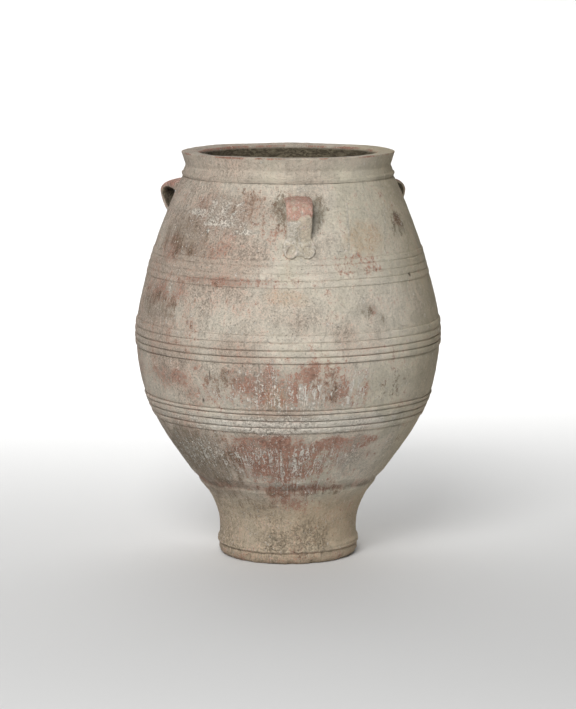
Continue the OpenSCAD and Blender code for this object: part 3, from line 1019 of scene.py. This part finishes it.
def weathered_clay(name, wash, reds=(BARE_DEEP, BARE), bare_more=0.0, contrast=1.0):
    """Red clay under a worn pale wash, with streaks, stains, drips of lime, fine grain, and grime with
    painted shade in the creases and beside the straps.
    """
    g = Graph(name)
    place = g.add("ShaderNodeTexCoord", {}).outputs["Object"]
    streak, ring_side = streak_places(g, place)
    bare, drip, stain_and_shade, ochre, pale, hole, crust = [g.attribute(kind) for kind in MARKS]
    inside, crease = g.attribute("inside"), g.attribute("crease")
    broad = g.noise(place, 7.0, 3.0, 0.5)
    patches = g.noise(place, 24.0, 6.0, 0.65, 0.5)
    mottle = g.noise(place, 115.0, 6.0, 0.78, 0.5)
    fine = g.noise(place, 255.0, 4.0, 0.85)
    run_noise = g.noise(streak, 110.0, 5.0, 0.66)
    run_lines = g.math("ABSOLUTE", g.centred(g.noise(streak, 120.0, 4.0, 0.55, 0.6)))

    # The left of the jar is warmer and dirtier, the right is smoother and more olive, the far right gets
    # painted shade with a warm bounce, and the stem is tan
    side, _, height = g.parts(place)
    leaning = g.total((side, 1.5), (g.centred(broad), 2.2))
    coarse = g.step(leaning, 0.25, -0.40, 0.24 * contrast, 1.0 * contrast)
    colour = g.mix(g.step(leaning, 0.15, -0.45), wash, WASH_WARM)
    colour = g.mix(g.step(leaning, -0.05, 0.45), colour, WASH_OLIVE)
    # Painted shade with a warm cast of bounced light on the far right of the jar
    colour = g.mix(g.step(ring_side, 0.18, 0.295, 0.0, 0.62), colour, FAR_RIGHT_SHADE)
    colour = g.mix(g.step(height, 0.175, 0.110, 0.0, 0.75), colour, STEM_TAN)
    colour = g.shade(colour, g.step(patches, 0.40, 0.60), 0.88, 1.07, 1.0)
    colour = g.shade(colour, g.step(mottle, 0.41, 0.59), 0.80, 1.16, coarse)
    colour = g.shade(colour, g.step(run_noise, 0.42, 0.58), 0.84, 1.12, coarse)

    # Ochre stains
    colour = g.cover(colour, OCHRE, ochre, g.step(mottle, 0.42, 0.60, 0.3, 0.95))

    # Red clay, veiled by thin wash or laid bare
    wear = g.total(
        (g.centred(patches), 1.5), (g.centred(mottle), 1.9), (g.centred(run_noise), 1.0),
        (g.centred(fine), 1.2), (bare, 0.56), (side, -0.30))
    clay = g.mix(g.step(mottle, 0.42, 0.58), *reds)
    colour = g.mix(g.step(wear, 0.02 - bare_more, 0.46 - bare_more, 0.0, 0.48), colour, clay)
    bare_mask = g.step(wear, 0.33 - bare_more, 0.50 - bare_more)
    colour = g.cover(colour, clay, bare_mask, 0.80)

    # Dark stains, and painted shade beside the straps
    dirt_and_shade = g.total(
        (g.centred(mottle), 1.3), (g.centred(run_noise), 1.1), (g.centred(patches), 0.9),
        (g.centred(fine), 0.6), (stain_and_shade, 0.50), (side, -0.32))
    colour = g.mix(g.step(dirt_and_shade, 0.20, 0.58, 0.0, 0.76), colour, STAIN_AND_SHADE_COLOUR)

    # Lime: drips that run down, flecks and smears, where the pale marks also lay painted light
    drips = g.step(g.total((run_lines, -1.0), (g.centred(mottle), 0.26), (drip, 0.040)), 0.003, 0.011)
    colour = g.cover(colour, LIME, drips, 0.88)
    pale_smears_and_light = g.total((g.centred(mottle), 0.6), (g.centred(fine), 0.7), (pale, 0.185), (side, -0.06))
    flecks = g.step(pale_smears_and_light, 0.140, 0.185)
    colour = g.cover(colour, PALE, flecks, 0.72)

    # The inside keeps its own brown, which is also laid as painted shade and dirt under the straps and as
    # painted shade just inside the mouth
    flattened = g.add("ShaderNodeMapping", {"Vector": place, "Scale": (1.0, 1.0, 3.0)}).outputs["Vector"]
    scraped = g.noise(flattened, 60.0, 6.0, 0.7, 1.2)
    colour = g.mix(inside, colour, g.mix(g.step(scraped, 0.42, 0.64), INSIDE_DARK, INSIDE_PALE))

    # Dirt and painted shade, in dark brown and red clay colours, in the creases; holes, pits and fine speckle
    crease_colour = g.mix(g.step(patches, 0.46, 0.56), CREASE, CREASE_RED)
    colour = g.cover(colour, crease_colour, crease, g.step(mottle, 0.36, 0.58, 0.25, 0.80))
    colour = g.cover(colour, PIT, hole, 0.95)
    pits = g.step(g.total((g.noise(place, 400.0, 3.0, 0.7), 1.0), (side, 0.08)), 0.395, 0.355)
    colour = g.cover(colour, PIT, pits, 0.42)
    colour = g.shade(colour, g.step(fine, 0.42, 0.58), 0.72, 1.26, coarse)
    g.tree.links.new(colour, g.shader.inputs["Base Color"])

    # Bare clay is a little smoother than the chalky wash
    chalk = g.step(fine, 0.3, 0.7, CHALK_ROUGH - 0.05, CHALK_ROUGH + 0.06)
    g.tree.links.new(g.total((chalk, 1.0), (bare_mask, -0.08)), g.shader.inputs["Roughness"])
    g.shader.inputs["Specular IOR Level"].default_value = CLAY_SHEEN

    lumps = g.step(g.noise(place, 150.0, 3.0, 0.6, 0.6), 0.47, 0.60)
    relief = g.total(
        (mottle, 1.5), (fine, 0.7), (flecks, 0.25), (drips, 0.25), (bare_mask, -0.2), (pits, -0.5),
        (g.math("MULTIPLY", lumps, crust), 2.0))
    raised = g.add("ShaderNodeBump", {"Height": relief, "Strength": 1.0, "Distance": GRAIN_DEPTH})
    g.tree.links.new(raised.outputs["Normal"], g.shader.inputs["Normal"])
    return g.material


MATERIALS = {
    "washed_clay": weathered_clay("washed_clay", WASH),
    "band_clay": weathered_clay("band_clay", BAND_WASH, bare_more=0.010, contrast=0.65),
    "lip_clay": weathered_clay("lip_clay", LIP_WASH, bare_more=-0.10, contrast=0.65),
    "foot_clay": weathered_clay("foot_clay", FOOT_WASH, bare_more=-0.06),
    "handle_clay": weathered_clay("handle_clay", HANDLE_WASH, (RUBBED_DEEP, RUBBED), bare_more=0.06),
}


# ---- studio

FLOOR_HALF = 9.0
FLOOR_BACK = 7.0
SWEEP_RADIUS = 2.5
SWEEP_TOP = 6.0
SWEEP_STEPS = 16
JAR_MIDDLE = (cad_box[0] + cad_box[1]) / 2
BACKDROP_FOOT = Vector((0.0, 5.6, 0.0))
# Square lights: place, size, power and what each is aimed at
LIGHTS = {
    "key": ((-1.5, -4.4, 3.5), 2.4, 288.0, JAR_MIDDLE),
    "fill": ((2.4, -4.4, 2.2), 3.0, 16.0, JAR_MIDDLE),
    "backdrop": ((0.0, 3.2, 3.6), 4.5, 300.0, BACKDROP_FOOT),
}
SURROUND = 0.075


def build_floor():
    """A pale floor that sweeps up behind the jar."""
    line = [(y, 0.0) for y in (-FLOOR_HALF, -3.0, 0.0, 3.0)]
    for i in range(SWEEP_STEPS + 1):
        turn = math.radians(90.0 * i / SWEEP_STEPS)
        y = FLOOR_BACK - SWEEP_RADIUS + SWEEP_RADIUS * math.sin(turn)
        line.append((y, SWEEP_RADIUS * (1.0 - math.cos(turn))))
    line.append((FLOOR_BACK, SWEEP_TOP))
    points = [(x, y, z) for y, z in line for x in (-FLOOR_HALF, FLOOR_HALF)]
    faces = [(2 * i, 2 * i + 1, 2 * i + 3, 2 * i + 2) for i in range(len(line) - 1)]
    mesh = new_mesh("floor", points, faces)
    mesh.shade_smooth()
    floor = add_object("floor", mesh)
    g = Graph("pale_floor")
    g.shader.inputs["Base Color"].default_value = FLOOR_GREY
    g.shader.inputs["Roughness"].default_value = 0.95
    g.shader.inputs["Specular IOR Level"].default_value = 0.1
    mesh.materials.append(g.material)


def build_studio():
    """Soft light from the upper left front, a weak fill, a lit backdrop and a faint white surround."""
    for name, (place, size, power, target) in LIGHTS.items():
        light = bpy.data.lights.new(name, "AREA")
        light.shape = "SQUARE"
        light.size = size
        light.energy = power
        lamp = add_object(name, light)
        lamp.location = place
        lamp.rotation_euler = (lamp.location - target).to_track_quat("Z", "Y").to_euler()
    world = bpy.data.worlds.new("surround")
    world.use_nodes = True
    background = world.node_tree.nodes["Background"]
    background.inputs["Color"].default_value = (1.0, 1.0, 1.0, 1.0)
    background.inputs["Strength"].default_value = SURROUND
    bpy.context.scene.world = world
    bpy.context.scene.view_settings.view_transform = "Standard"


CAMERA_TURN = 4.6
CAMERA_DISTANCE = 5.602
CAMERA_HEIGHT = 1.2656
CAMERA_TILT = 8.5816
LENS = 136.75
SENSOR = 36.0


def build_camera():
    """A long lens a little above the jar, turned slightly to the left of the front handle."""
    data = bpy.data.cameras.new("camera")
    data.sensor_width = SENSOR
    data.lens = LENS
    data.clip_end = 100.0
    camera = add_object("camera", data)
    turn = math.radians(CAMERA_TURN)
    camera.location = (-CAMERA_DISTANCE * math.sin(turn), -CAMERA_DISTANCE * math.cos(turn), CAMERA_HEIGHT)
    camera.rotation_euler = (math.radians(90.0 - CAMERA_TILT), 0.0, -turn)
    bpy.context.scene.camera = camera


# ---- the jar

build_slab()
for wall in WALLS:
    build_wall(wall)
for band_name in BANDS:
    build_band(band_name)
build_collar()
for number, handle in enumerate(HANDLES):
    build_handle(handle, number)
build_floor()
build_studio()
build_camera()
